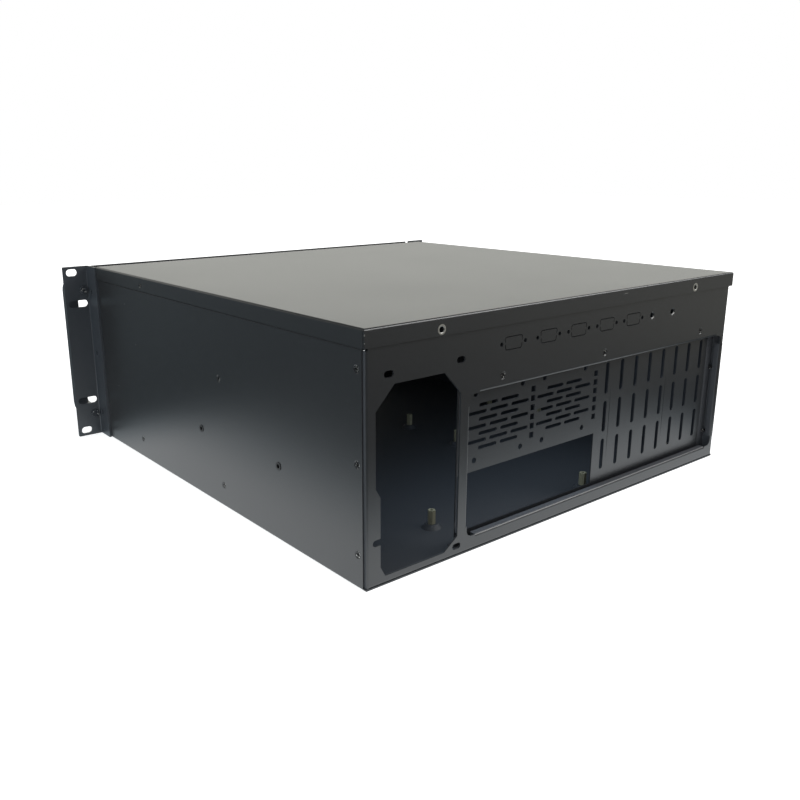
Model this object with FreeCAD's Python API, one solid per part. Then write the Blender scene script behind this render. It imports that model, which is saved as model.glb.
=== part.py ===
import FreeCAD, Part
import math
import os

# Empty 4U rackmount server case: a folded steel body with a lift-off lid, a rear panel with a
# power supply opening and a recessed plate for the board's sockets and cards, rack ears with
# handles, and a plain front. Millimetres, +Z up, rear towards +Y, origin under the middle of
# the bounding box. Rear features are placed by their distance from the +X side wall ("across")
# and from the underside of the base.

# ---- Overall -------------------------------------------------------------------------------
rack_unit = 44.45            # EIA-310 height of one unit
units = 4
body_depth = 449.5           # back of the ears to the rear panel's outer face
sheet = 1.2                  # body, lid, rear and front sheet
bend = 0.4                   # inside radius of the sharp folds
fit = 0.3                    # clearance between pieces that slide or lift past each other
screw_gap = 0.1              # clearance round a screw's shank and head

# ---- Base tray -----------------------------------------------------------------------------
base_flange = 12.0           # inward flange along the top of each side wall
step_in = 0.5                # the wall steps in under the lid's flange
step_height = 0.6
pad_rise = 3.3               # embossed pads that carry the standoffs
pad_top_radius = 5.0
pad_slope = 3.0
end_setback = 0.3            # its ends stop this far short of the front and rear faces
wall_back = 2.8              # side walls stop short of the rear panel's rounded corners

# ---- Lid -----------------------------------------------------------------------------------
lid_skirt = 12.5             # height of the lid's side and rear flanges
lid_lip = 2.4                # height of the short fold along its front edge
lid_slit = 0.5               # gap at each rear corner, between the side and rear flanges
ferrule_across = (63.8, 368.0)
ferrule_down = 8.2           # below the lid's top
ferrule_radius = 3.6
ferrule_sleeve = 2.9
ferrule_bore = 2.1
ferrule_face = 0.5
ferrule_round = 0.45         # rounding of the bore's mouth
pin_back = 126.0             # lid locating pins behind the back of the ears
pin_down = 8.0               # below the lid's top
pin_head_radius = 2.0
pin_head_thick = 0.5
pin_radius = 1.3
pin_reach = 2.6              # from the flange's outer face inwards
pin_clear = 0.7              # open-topped notch in the wall, round the pin

# ---- Rear panel ----------------------------------------------------------------------------
rear_flange = 15.0           # side flange that lies inside the base's wall
rear_top_flange = 12.0
land = 4.0                   # flat strip beside each fold
bend_window = 0.8            # inside radius of the window's folded edges
window_left = 94.0           # clear window, across from the +X wall
window_right_margin = 6.0
window_bottom = 12.2
window_top = 119.9
window_corner = 5.0
window_flange = 5.6          # depth of the folded edge
window_side_relief = 8.5     # unfolded stretch at each corner, on the short edges
window_long_relief = 9.0     # the same on the long edges

# Power supply opening: the outline of a supply's socket side, for one that stands on end.
psu_holes_across = 19.8      # screw column nearest the wall
psu_column = 64.0            # ATX supply screw pattern
psu_row = 138.0
psu_top_row = 146.3
psu_fourth_down = 113.5
psu_slot_long = 8.0
psu_slot_high = 4.6
psu_left = 9.0
psu_right = 84.5
psu_bottom = 6.8
psu_top = 139.3
psu_chamfer_x = 15.7
psu_chamfer_z = 16.3
psu_step_in = 4.0            # lower part of the wall-side edge stands further in
psu_step_low = 64.0
psu_step_high = 71.0
psu_foot_x = 4.0
psu_foot_z = 7.5
psu_heel_x = 13.0
psu_heel_z = 9.2
psu_notch_depth = 6.7
psu_corner = 0.8

# Serial port knock-outs, still held by two small joints each.
port_height = 151.2
port_first = 136.1
port_first_pitch = 38.5
port_pitch = 35.4
port_count = 5
port_top_width = 18.6
port_bottom_width = 16.6
port_tall = 9.4
port_corner = 1.8
port_cut = 0.6
port_joint = 1.6
port_screw_half = 12.5
port_screw_radius = 1.55

jack_across = (307.5, 337.7)
jack_height = 151.4
jack_radius = 2.2
jack_sink_radius = 3.1

plate_screw_across = (126.3, 245.5, 386.0)
plate_screw_height = 128.6

# ---- Recessed plate for the board's sockets and cards ---------------------------------------
recess = 8.5                 # plate's rear face behind the rear panel's rear face
plate = 1.0
plate_left = 90.2
plate_right_margin = 14.4
plate_foot = 6.0
plate_upstand = 11.6         # flange screwed to the rear panel
lip_lap = 0.9                # rear panel's lip reaches this far behind the plate's far edge
shield_right = 249.6         # motherboard socket opening
shield_width = 158.75
shield_tall = 44.45
shield_bottom = 13.15
fan_height = 91.0
fan_across = (133.1, 208.1)
fan_spacing = 50.0
fan_hole_radius = 2.2
vent_long = 19.4
vent_high = 2.75
vent_pitch_across = 22.95
vent_pitch_up = 5.4
vent_rows = 7
square = 4.7
square_pitch = 7.33
square_count = 6
square_across = (170.5, 247.6)

# Card slots, still closed by break-off blanks that are one with the plate
slot_pitch = 20.32
slot_count = 8
slot_first_gap = 13.3        # from the socket opening to the first slot's middle
slot_last_gap = 24.86        # from the last slot's middle to the far wall, 430 over both walls
slot_open_width = 12.7
slot_open_bottom = 18.0
slot_open_top_gap = 3.4
score_width = 0.3            # grooves down both sides of a blank, on the inner face
score_deep = 0.6
gap_blanks = (0, 4)          # blanks whose far score has opened into a bowed gap
gap_width = 0.6
gap_bottom = 26.0
gap_top = 97.0
blank_vent_width = 4.6
blank_vent_long = 27.0
blank_vent_pitch = 33.15
blank_vent_count = 3
blank_vent_low = 36.6        # middle of the lowest vent
card_screw_in = 3.1          # card screws' holes in the shelf, in front of the plate
card_screw_radius = 1.25

# ---- Motherboard standoffs (ATX pattern, from the board's rear left corner) ------------------
board_gap = 4.6              # board's rear edge in front of the plate
board_left = 96.9            # board's edge, across from the +X wall
board_columns = (6.35, 163.83, 288.29)
board_rear_rows = (33.02, 10.16, 10.16)
board_mid_row = 165.10
board_front_row = 237.49
standoff_flats = 5.5
standoff_height = 11.2
standoff_stud_radius = 1.5
standoff_stud = 3.0
standoff_bore_radius = 1.25
standoff_bore = 6.0

# ---- Side screws and rail nuts ----------------------------------------------------------------
side_screw_heights = (24.6, 87.8, 151.0)
rear_screw_inset = 8.05
screw_head_radius = 2.9
screw_head_deep = 1.2
screw_sink = 0.3             # its face below the sheet's
screw_radius = 1.5
screw_long = 6.0
cross_width = 0.8
cross_long = 3.4
cross_deep = 0.8
rail_nut_back = (227.5, 347.0)
rail_nut_height = 60.0
rail_nut_radius = 3.2
rail_nut_bore = 1.65
rail_nut_flange = 0.4
rail_nut_long = 4.0

# ---- Drive cage on the +X side ------------------------------------------------------------------
cage_front = 92.0            # behind the back of the ears
cage_rear = 274.0
cage_gap = 4.05              # between the cage and the foot of the nearest pads
cage_tall = 121.0
cage_screws = ((104.0, 19.3), (262.0, 19.3), (262.0, 110.0))
cage_slot_long = 9.0
cage_slot_high = 3.6
cage_slot_pitch = 25.4
cage_slot_rows = 4
cage_slot_columns = (40.0, 101.6, 142.0)
cage_slot_low = 22.0

# ---- Front --------------------------------------------------------------------------------------
ear_reach = 26.3             # outwards from the body's side, 482.6 over both ears
ear_thick = 2.0
ear_below = 0.8              # its top edge below the full height of the rack units
ear_skirt = 21.5             # flange along the body's side
ear_bend = 1.2
ear_screw_back = 7.0
ear_slot_z = 82.55           # outer slots from the ear's middle
ear_slot_in = 8.75           # EIA hole line from the ear's outer edge
ear_slot_long = 11.2
ear_slot_high = 7.0
ear_inner_slot_z = 50.8
ear_inner_slot_in = 12.6
ear_inner_slot_long = 20.2
ear_corner = 1.0

handle_reach = 42.0
handle_spacing = 130.0
handle_out = 5.4             # middle of the handle, out from the ear's side flange
handle_wide = 14.0
handle_bar = 8.0
handle_leg = 10.0
handle_bend = 11.0           # outside radius of the handle's corners
handle_edge = 2.0
handle_screw_radius = 2.0
handle_screw_long = 14.0
handle_head_radius = 4.0
handle_head_thick = 2.2
handle_head_round = 0.8
handle_drop = 0.5            # handle sits a little below the ear's middle

front_flange = 16.0
front_rim = 176.6            # front panel's top edge
rail_deep = 36.0             # strip inside the front panel, under the lid's front edge
rail_skirt = 12.0
front_vent_wide = 5.0
front_vent_tall = 32.0
front_vent_pitch = 11.0
front_vent_columns = 24
front_vent_rows = (52.0, 92.0)
front_vent_left = -196.0
button_gap = 3.8             # between the front rail and the power button's rim
power_x = 180.0
power_radius = 5.8
power_travel = 1.5
reset_x = 160.0
reset_radius = 2.6
reset_travel = 1.2
button_proud = 1.8
button_rim = 1.2
button_rim_thick = 1.2
switch_wall = 2.0
switch_back = 3.0
button_deep = 9.0            # plunger's bore behind the panel's front face
button_round = 0.6
lamp_x = (140.0, 128.0)
lamp_radius = 2.4
lamp_rim = 0.8
lamp_rim_thick = 1.0
lamp_long = 6.0
lamp_proud = 0.6

# ---- Worked-out places ----------------------------------------------------------------------------
body_width = shield_right + slot_first_gap + slot_pitch * (slot_count - 1) + slot_last_gap
total_length = handle_reach + ear_thick + body_depth + fit + sheet
rear_y = total_length / 2 - fit - sheet
ear_y = rear_y - body_depth
front_y = ear_y - ear_thick
half = body_width / 2
lid_top = units * rack_unit
ear_height = lid_top - ear_below
ear_edge = half + ear_reach
ferrule_height = lid_top - ferrule_down
pin_height = lid_top - pin_down
deck_z = lid_top - sheet
upper_wall = half - step_in
panel_half = half - sheet
lid_half = upper_wall + fit + sheet
lid_skirt_z = lid_top - lid_skirt
step_z = lid_skirt_z - 1.0
window_right = body_width - window_right_margin
plate_y = rear_y - recess
plate_front_y = plate_y - plate
plate_right = body_width - plate_right_margin
shelf_z = window_top + sheet + fit
ear_middle = ear_height / 2
handle_x = half + ear_thick + handle_out
lid_front_y = ear_y + ear_skirt + fit
lid_rear_y = rear_y + fit + sheet
rail_z = lid_top - lid_lip - fit
power_rim_radius = power_radius + fit + switch_wall + button_rim
button_height = rail_z - rail_skirt - button_gap - power_rim_radius
bend_out = bend + sheet
shoulder_z = step_z - step_height - bend


def vec(x, y, z):
    return FreeCAD.Vector(x, y, z)


def box(x0, x1, y0, y1, z0, z1):
    return Part.makeBox(x1 - x0, y1 - y0, z1 - z0, vec(x0, y0, z0))


def rod(radius, start, direction, length):
    return Part.makeCylinder(radius, length, start, direction)


def cone(radius_start, radius_end, start, direction, length):
    return Part.makeCone(radius_start, radius_end, length, start, direction)


def place(axis, level, a, b):
    """The point (a, b) of an outline drawn square to an axis, at a level along that axis."""
    if axis == "x":
        return vec(level, a, b)
    if axis == "y":
        return vec(a, level, b)
    return vec(a, b, level)


def prism(points, radii, axis, start, end):
    """An outline with rounded corners, run along one axis from start to end."""
    count = len(points)
    edges = []
    starts = []
    ends = []
    for i in range(count):
        here = points[i]
        before = points[i - 1]
        after = points[(i + 1) % count]
        back = (before[0] - here[0], before[1] - here[1])
        on = (after[0] - here[0], after[1] - here[1])
        back_length = math.hypot(back[0], back[1])
        on_length = math.hypot(on[0], on[1])
        back = (back[0] / back_length, back[1] / back_length)
        on = (on[0] / on_length, on[1] / on_length)
        turn = math.acos(max(-1.0, min(1.0, back[0] * on[0] + back[1] * on[1])))
        radius = radii[i]
        if radius <= 0:
            starts.append(here)
            ends.append(here)
            continue
        run = radius / math.tan(turn / 2)
        first = (here[0] + back[0] * run, here[1] + back[1] * run)
        last = (here[0] + on[0] * run, here[1] + on[1] * run)
        middle = (back[0] + on[0], back[1] + on[1])
        middle_length = math.hypot(middle[0], middle[1])
        out = radius / math.sin(turn / 2) - radius
        crest = (here[0] + middle[0] / middle_length * out, here[1] + middle[1] / middle_length * out)
        arc = Part.Arc(place(axis, start, *first), place(axis, start, *crest), place(axis, start, *last))
        edges.append(arc.toShape())
        starts.append(first)
        ends.append(last)
    for i in range(count):
        leave = ends[i]
        reach = starts[(i + 1) % count]
        if math.hypot(leave[0] - reach[0], leave[1] - reach[1]) > 1e-6:
            line = Part.makeLine(place(axis, start, *leave), place(axis, start, *reach))
            edges.append(line)
    wire = Part.Wire(Part.__sortEdges__(edges))
    along = place(axis, end, 0, 0) - place(axis, start, 0, 0)
    solid = Part.Face(wire).extrude(along)
    if solid.Volume < 0:
        solid.reverse()
    return solid


def sheet_run(path, inside_radii, thick, side, axis, start, end):
    """A folded sheet: one face follows the path, the other lies a thickness to its side (+1 left)."""
    count = len(path)
    normals = []
    for i in range(count - 1):
        dx = path[i + 1][0] - path[i][0]
        dy = path[i + 1][1] - path[i][1]
        length = math.hypot(dx, dy)
        normals.append((-dy / length * side, dx / length * side))
    other = []
    near_radii = []
    far_radii = []
    for i in range(count):
        if i == 0 or i == count - 1:
            normal = normals[0] if i == 0 else normals[-1]
            other.append((path[i][0] + normal[0] * thick, path[i][1] + normal[1] * thick))
            near_radii.append(0)
            far_radii.append(0)
            continue
        first = normals[i - 1]
        second = normals[i]
        scale = thick / (1 + first[0] * second[0] + first[1] * second[1])
        shift = ((first[0] + second[0]) * scale, (first[1] + second[1]) * scale)
        other.append((path[i][0] + shift[0], path[i][1] + shift[1]))
        run = (path[i + 1][0] - path[i][0], path[i + 1][1] - path[i][1])
        folds_to_side = first[0] * run[0] + first[1] * run[1] > 0
        radius = inside_radii[i - 1]
        outer = radius + thick if radius > 0 else 0
        near_radii.append(outer if folds_to_side else radius)
        far_radii.append(radius if folds_to_side else outer)
    outline = path + other[::-1]
    return prism(outline, near_radii + far_radii[::-1], axis, start, end)


def slot_y(x, z, length, height, y0, y1, upright=False):
    """A round-ended slot cut along Y; upright turns its long side to Z."""
    a = length / 2
    b = height / 2
    if upright:
        a, b = b, a
    corners = [(x - a, z - b), (x + a, z - b), (x + a, z + b), (x - a, z + b)]
    radius = min(a, b) * 0.998
    return prism(corners, [radius] * 4, "y", y0, y1)


def slot_x(y, z, length, height, x0, x1):
    corners = [(y - length / 2, z - height / 2), (y + length / 2, z - height / 2),
               (y + length / 2, z + height / 2), (y - length / 2, z + height / 2)]
    return prism(corners, [height / 2 * 0.998] * 4, "x", x0, x1)


def across(distance):
    """X of a rear feature that lies this far from the +X wall's outer face."""
    return half - distance


def cut_all(shape, tools):
    return shape.cut(Part.makeCompound(tools))


def mirrored(shape):
    return shape.mirror(vec(0, 0, 0), vec(1, 0, 0))


def sunk_screw(point, direction):
    """A countersunk cross-head screw driven at the point, its flat face a little below the sheet."""
    face = point + direction * screw_sink
    taper = (screw_head_radius - screw_radius) / screw_head_deep
    face_radius = screw_head_radius - taper * screw_sink
    head = cone(face_radius, screw_radius, face, direction, screw_head_deep - screw_sink)
    shank = rod(screw_radius, face, direction, screw_long)
    screw = head.fuse(shank)
    return cut_all(screw, cross_recess(face, direction))


def cross_recess(point, direction):
    """The two crossed grooves of a driver recess, sunk from a head's face."""
    wide = cross_width / 2
    long = cross_long / 2
    if abs(direction.x) > 0.5:
        depth = cross_deep * direction.x
        low = min(point.x - depth, point.x + depth)
        high = max(point.x - depth, point.x + depth)
        first = box(low, high, point.y - long, point.y + long, point.z - wide, point.z + wide)
        second = box(low, high, point.y - wide, point.y + wide, point.z - long, point.z + long)
        return [first, second]
    if abs(direction.y) > 0.5:
        low = point.y - cross_deep
        high = point.y + cross_deep
        first = box(point.x - long, point.x + long, low, high, point.z - wide, point.z + wide)
        second = box(point.x - wide, point.x + wide, low, high, point.z - long, point.z + long)
        return [first, second]
    low = point.z - cross_deep
    high = point.z + cross_deep
    first = box(point.x - long, point.x + long, point.y - wide, point.y + wide, low, high)
    second = box(point.x - wide, point.x + wide, point.y - long, point.y + long, low, high)
    return [first, second]


def sunk_hole(point, direction):
    """The countersunk hole that takes such a screw."""
    head = cone(screw_head_radius + screw_gap, screw_radius + screw_gap, point, direction, screw_head_deep)
    shank = rod(screw_radius + screw_gap, point, direction, screw_long + 1)
    lead = rod(screw_head_radius + screw_gap, point - direction, direction, 1)
    return head.fuse([shank, lead])


def side_spots(side):
    """Where the countersunk screws sit on one side wall, at the wall's outer face."""
    spots = [vec(side * half, rear_y - rear_screw_inset, z) for z in side_screw_heights]
    if side > 0:
        spots += [vec(half, ear_y + back, z) for back, z in cage_screws]
    return spots


def ear_spots(side):
    x = side * (half + ear_thick)
    return [vec(x, ear_y + ear_screw_back, z) for z in side_screw_heights]


def plate_spots():
    return [vec(across(a), rear_y, plate_screw_height) for a in plate_screw_across]


def standoff_spots():
    spots = []
    for column in range(3):
        rows = (board_rear_rows[column], board_mid_row, board_front_row)
        for row in rows:
            x = across(board_left + board_columns[column])
            y = plate_front_y - board_gap - row
            spots.append((x, y))
    return spots


def slot_middles():
    first = shield_right + slot_first_gap
    return [across(first + slot_pitch * i) for i in range(slot_count)]


def base_tray():
    path = [(-upper_wall + base_flange, deck_z), (-upper_wall, deck_z), (-upper_wall, step_z),
            (-half, step_z - step_height), (-half, 0), (half, 0), (half, step_z - step_height),
            (upper_wall, step_z), (upper_wall, deck_z), (upper_wall - base_flange, deck_z)]
    radii = [bend, 0, 0, bend, bend, 0, 0, bend]
    y0 = front_y + end_setback
    y1 = rear_y - end_setback
    tray = sheet_run(path, radii, sheet, 1, "y", y0, y1)
    cuts = []
    drop = deck_z - sheet - bend - 0.2
    for side in (-1, 1):
        inner = side * (upper_wall - base_flange - 1)
        outer = side * (upper_wall + 1)
        x0 = min(inner, outer)
        x1 = max(inner, outer)
        cuts.append(box(x0, x1, rear_y - rear_top_flange - fit, rear_y + 1, drop, deck_z + 1))
        cuts.append(box(x0, x1, front_y, front_y + rail_deep + fit, drop, deck_z + 1))
        corner_in = side * (half - bend_out)
        corner_out = side * (half + 1)
        x0 = min(corner_in, corner_out)
        x1 = max(corner_in, corner_out)
        cuts.append(box(x0, x1, rear_y - wall_back, rear_y + 1, bend_out, deck_z + 1))
        notch_in = side * (lid_half - pin_reach - pin_clear)
        x0 = min(notch_in, outer)
        x1 = max(notch_in, outer)
        y = ear_y + pin_back
        reach = pin_radius + pin_clear
        cuts.append(box(x0, x1, y - reach, y + reach, pin_height - reach, deck_z + 1))
        inward = vec(-side, 0, 0)
        cuts += [sunk_hole(spot, inward) for spot in side_spots(side)]
        for spot in ear_spots(side):
            cuts.append(rod(screw_radius + screw_gap, spot, inward, screw_long + 1))
        for back in rail_nut_back:
            start = vec(side * (half + 1), ear_y + back, rail_nut_height)
            cuts.append(rod(rail_nut_radius - rail_nut_flange, start, inward, sheet + 2))
    tray = cut_all(tray, cuts)
    pads = []
    hollows = []
    up = vec(0, 0, 1)
    foot = pad_top_radius + pad_slope
    for x, y in standoff_spots():
        pads.append(cone(foot, pad_top_radius, vec(x, y, sheet), up, pad_rise))
        hollows.append(cone(foot - sheet / 2, pad_top_radius - sheet / 2, vec(x, y, 0), up, pad_rise))
        hollows.append(rod(standoff_stud_radius + screw_gap, vec(x, y, 0), up, sheet + pad_rise + 1))
    tray = tray.fuse(pads)
    return cut_all(tray, hollows)


def edge_fold(edge, away, reach, axis, start, end):
    """The folded edge of the rear panel: a strip beside the edge and a flange turned inwards."""
    if axis == "x":
        path = [(rear_y - reach, edge), (rear_y, edge), (rear_y, edge + away * land)]
        return sheet_run(path, [bend_window], sheet, away, "x", start, end)
    path = [(edge, rear_y - reach), (edge, rear_y), (edge + away * land, rear_y)]
    return sheet_run(path, [bend_window], sheet, -away, "z", start, end)


def psu_outline():
    """The power supply opening as distances across and heights, in order round the edge."""
    step = psu_left + psu_step_in
    return [(psu_left, psu_top - psu_chamfer_z), (psu_left + psu_chamfer_x, psu_top),
            (psu_right - psu_chamfer_x, psu_top), (psu_right, psu_top - psu_chamfer_z),
            (psu_right, psu_bottom + psu_heel_z), (psu_right - psu_heel_x, psu_bottom),
            (step + psu_foot_x, psu_bottom), (step, psu_bottom + psu_foot_z),
            (step, psu_step_low), (psu_left, psu_step_high)]


def psu_screws():
    left = psu_holes_across
    right = left + psu_column
    return [(left, psu_top_row), (right, psu_top_row), (right, psu_top_row - psu_row)]


def port_middles():
    middles = [port_first]
    for i in range(port_count - 1):
        middles.append(port_first + port_first_pitch + port_pitch * i)
    return middles


def port_outline(middle, grow):
    """A serial port's outline, wider at its top, grown outwards by a given amount."""
    top = port_top_width / 2 + grow
    bottom = port_bottom_width / 2 + grow
    high = port_height + port_tall / 2 + grow
    low = port_height - port_tall / 2 - grow
    x = across(middle)
    return [(x - top, high), (x - bottom, low), (x + bottom, low), (x + top, high)]


def port_cuts(middle, y0, y1):
    """The thin cut line round one knock-out, less its two joints, and its two screw holes."""
    outer = prism(port_outline(middle, port_cut / 2), [port_corner + port_cut / 2] * 4, "y", y0, y1)
    inner = prism(port_outline(middle, -port_cut / 2), [port_corner - port_cut / 2] * 4, "y", y0, y1)
    x = across(middle)
    wide = port_top_width
    joint = box(x - wide, x + wide, y0, y1, port_height - port_joint / 2, port_height + port_joint / 2)
    line = outer.cut(inner).cut(joint)
    cuts = [line]
    for side in (-1, 1):
        start = vec(x + side * port_screw_half, y0, port_height)
        cuts.append(rod(port_screw_radius, start, vec(0, 1, 0), y1 - y0))
    return cuts


def window_edges():
    x0 = across(window_right)
    x1 = across(window_left)
    return x0, x1, window_bottom, window_top


def corner_cuts(y0, y1):
    """A panel's corners taken off, where the walls step in and where they bend into the floor."""
    inner = panel_half - bend_out
    cuts = []
    for side in (-1, 1):
        x0 = min(side * inner, side * (half + 1))
        x1 = max(side * inner, side * (half + 1))
        cuts.append(box(x0, x1, y0, y1, shoulder_z, lid_top + 1))
        cuts.append(box(x0, x1, y0, y1, 0, sheet + bend))
    return cuts


def landing_lip():
    """The rear panel's side flange turned in behind the recessed plate's far edge."""
    lip_y = plate_front_y - sheet
    lip_end = across(plate_right) + lip_lap
    path = [(-panel_half, plate_y), (-panel_half, lip_y), (lip_end, lip_y)]
    low = sheet + plate + bend + fit
    return sheet_run(path, [bend], sheet, 1, "z", low, shelf_z - lip_lap)


def rear_folds():
    """Every edge of the rear panel that is folded inwards, as cuts and the folds that fill them."""
    y0 = rear_y - sheet - 1
    y1 = rear_y + 1
    x0, x1, z0, z1 = window_edges()
    long0 = x0 + window_long_relief
    long1 = x1 - window_long_relief
    short0 = z0 + window_side_relief
    short1 = z1 - window_side_relief
    end = panel_half - bend_out
    cuts = [box(long0, long1, y0, y1, z1 - 1, z1 + land), box(long0, long1, y0, y1, z0 - land, z0 + 1),
            box(x1 - 1, x1 + land, y0, y1, short0, short1), box(x0 - land, x0 + 1, y0, y1, short0, short1),
            box(-end, end, y0, y1, deck_z - land, deck_z + 1),
            box(-end, end, y0, y1, sheet - 1, sheet + land)]
    folds = [edge_fold(z1, 1, window_flange, "x", long0, long1),
             edge_fold(z0, -1, window_flange, "x", long0, long1),
             edge_fold(x1, 1, window_flange, "z", short0, short1),
             edge_fold(x0, -1, window_flange, "z", short0, short1),
             edge_fold(deck_z, -1, rear_top_flange, "x", -end, end),
             edge_fold(sheet, 1, recess - fit, "x", -end, end)]
    return cuts, folds


def rear_panel():
    path = [(panel_half, rear_y - rear_flange), (panel_half, rear_y), (-panel_half, rear_y),
            (-panel_half, rear_y - rear_flange)]
    panel = sheet_run(path, [bend, bend], sheet, 1, "z", sheet, deck_z)
    y0 = rear_y - sheet - 1
    y1 = rear_y + 1
    x0, x1, z0, z1 = window_edges()
    corners = [(x0, z0), (x1, z0), (x1, z1), (x0, z1)]
    cuts, folds = rear_folds()
    cuts.append(prism(corners, [window_corner] * 4, "y", y0, y1))
    cuts.append(box(-half, -panel_half + bend_out + fit, rear_y - rear_flange - 1, plate_y - bend,
                    0, shelf_z - lip_lap))
    outline = [(across(a), z) for a, z in psu_outline()]
    cuts.append(prism(outline, [psu_corner] * len(outline), "y", y0, y1))
    for a, z in psu_screws():
        cuts.append(slot_y(across(a), z, psu_slot_long, psu_slot_high, y0, y1))
    notch_z = psu_top_row - psu_fourth_down
    notch_end = psu_left + psu_step_in - psu_notch_depth
    notch_long = psu_notch_depth + psu_slot_high
    cuts.append(slot_y(across(notch_end + notch_long / 2), notch_z, notch_long, psu_slot_high, y0, y1))
    for middle in port_middles():
        cuts += port_cuts(middle, y0, y1)
    inward = vec(0, -1, 0)
    for a in jack_across:
        start = vec(across(a), rear_y, jack_height)
        cuts.append(rod(jack_radius, start, inward, sheet + 1))
        cuts.append(cone(jack_sink_radius, jack_radius, start, inward, sheet / 2))
    cuts += [sunk_hole(spot, inward) for spot in plate_spots()]
    panel = cut_all(panel, cuts).fuse(folds + [landing_lip()])
    last = corner_cuts(rear_y - rear_flange - 1, y1)
    for side in (-1, 1):
        for z in side_screw_heights:
            start = vec(side * half, rear_y - rear_screw_inset, z)
            last.append(rod(screw_radius + screw_gap, start, vec(-side, 0, 0), screw_long + 1))
    for a in ferrule_across:
        last.append(rod(ferrule_bore, vec(across(a), y1, ferrule_height), inward, sheet + 2))
    return cut_all(panel, last)


def io_plate():
    x0 = across(plate_right)
    x1 = across(plate_left)
    up_y = rear_y - sheet
    path = [(plate_front_y - plate_foot, sheet), (plate_y, sheet), (plate_y, shelf_z),
            (up_y, shelf_z), (up_y, shelf_z + plate_upstand)]
    body = sheet_run(path, [bend, bend / 2, bend / 2], plate, 1, "x", x0, x1)
    y0 = plate_front_y - 0.5
    y1 = plate_y + 0.5
    cuts = []
    right = across(shield_right)
    top = shield_bottom + shield_tall
    cuts.append(box(right, right + shield_width, y0, y1, shield_bottom, top))
    for middle in fan_across:
        cuts += fan_vents(across(middle), y0, y1)
    for a in square_across:
        for k in range(square_count):
            z = fan_height + (k - (square_count - 1) / 2) * square_pitch
            x = across(a)
            cuts.append(box(x - square / 2, x + square / 2, y0, y1, z - square / 2, z + square / 2))
    for number, x in enumerate(slot_middles()):
        cuts += blank_cuts(x, number in gap_blanks, y0, y1)
    for spot in plate_spots():
        cuts.append(rod(screw_radius + screw_gap, spot, vec(0, -1, 0), recess))
    return cut_all(body, cuts)


def fan_vents(x, y0, y1):
    """Rows of short slots, two and three in turn, inside four screw holes for a 60 mm fan."""
    cuts = []
    for row in range(vent_rows):
        z = fan_height + (row - (vent_rows - 1) / 2) * vent_pitch_up
        count = 2 if row % 2 == 0 else 3
        for k in range(count):
            shift = (k - (count - 1) / 2) * vent_pitch_across
            cuts.append(slot_y(x + shift, z, vent_long, vent_high, y0, y1))
    for sx in (-1, 1):
        for sz in (-1, 1):
            start = vec(x + sx * fan_spacing / 2, y0, fan_height + sz * fan_spacing / 2)
            cuts.append(rod(fan_hole_radius, start, vec(0, 1, 0), y1 - y0))
    return cuts


def bowed_gap(x, y0, y1):
    """A narrow upright gap, widest halfway up."""
    foot = vec(x, y0, gap_bottom)
    head = vec(x, y0, gap_top)
    middle = (gap_bottom + gap_top) / 2
    near = Part.Arc(foot, vec(x - gap_width / 2, y0, middle), head).toShape()
    far = Part.Arc(head, vec(x + gap_width / 2, y0, middle), foot).toShape()
    return Part.Face(Part.Wire([near, far])).extrude(vec(0, y1 - y0, 0))


def blank_cuts(x, opened, y0, y1):
    """One card slot's blank: three vents, a scored line down each side and a card screw's hole."""
    cuts = []
    for k in range(blank_vent_count):
        z = blank_vent_low + blank_vent_pitch * k
        cuts.append(slot_y(x, z, blank_vent_long, blank_vent_width, y0, y1, upright=True))
    for side in (-1, 1):
        edge = x + side * slot_open_width / 2
        cuts.append(box(edge - score_width / 2, edge + score_width / 2, y0, plate_front_y + score_deep,
                        slot_open_bottom, shelf_z - slot_open_top_gap))
    if opened:
        cuts.append(bowed_gap(x - slot_open_width / 2, y0, y1))
    hole = vec(x, plate_front_y + plate - card_screw_in, shelf_z - 1)
    cuts.append(rod(card_screw_radius, hole, vec(0, 0, 1), plate + 2))
    return cuts


def motherboard_standoffs():
    posts = []
    up = vec(0, 0, 1)
    seat = sheet + pad_rise
    corner = standoff_flats / 2 / math.cos(math.pi / 6)
    for x, y in standoff_spots():
        ring = []
        for k in range(6):
            angle = math.pi / 3 * k
            ring.append((x + corner * math.cos(angle), y + corner * math.sin(angle)))
        post = prism(ring, [0] * 6, "z", seat, seat + standoff_height)
        stud = rod(standoff_stud_radius, vec(x, y, seat - standoff_stud), up, standoff_stud)
        mouth = vec(x, y, seat + standoff_height)
        bore = rod(standoff_bore_radius, mouth, vec(0, 0, -1), standoff_bore)
        posts.append(post.fuse(stud).cut(bore))
    return Part.makeCompound(posts)


def lid_block(inset, radius, low):
    """The lid's outer or inner block, with the edges round its top rounded."""
    x = lid_half - inset
    front = lid_front_y + inset
    rear = lid_rear_y - inset
    top = lid_top - inset
    block = box(-x, x, front, rear, low, top)
    rounded = [edge for edge in block.Edges if abs(edge.CenterOfMass.z - top) < 0.01]
    return block.makeFillet(radius, rounded)


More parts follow.
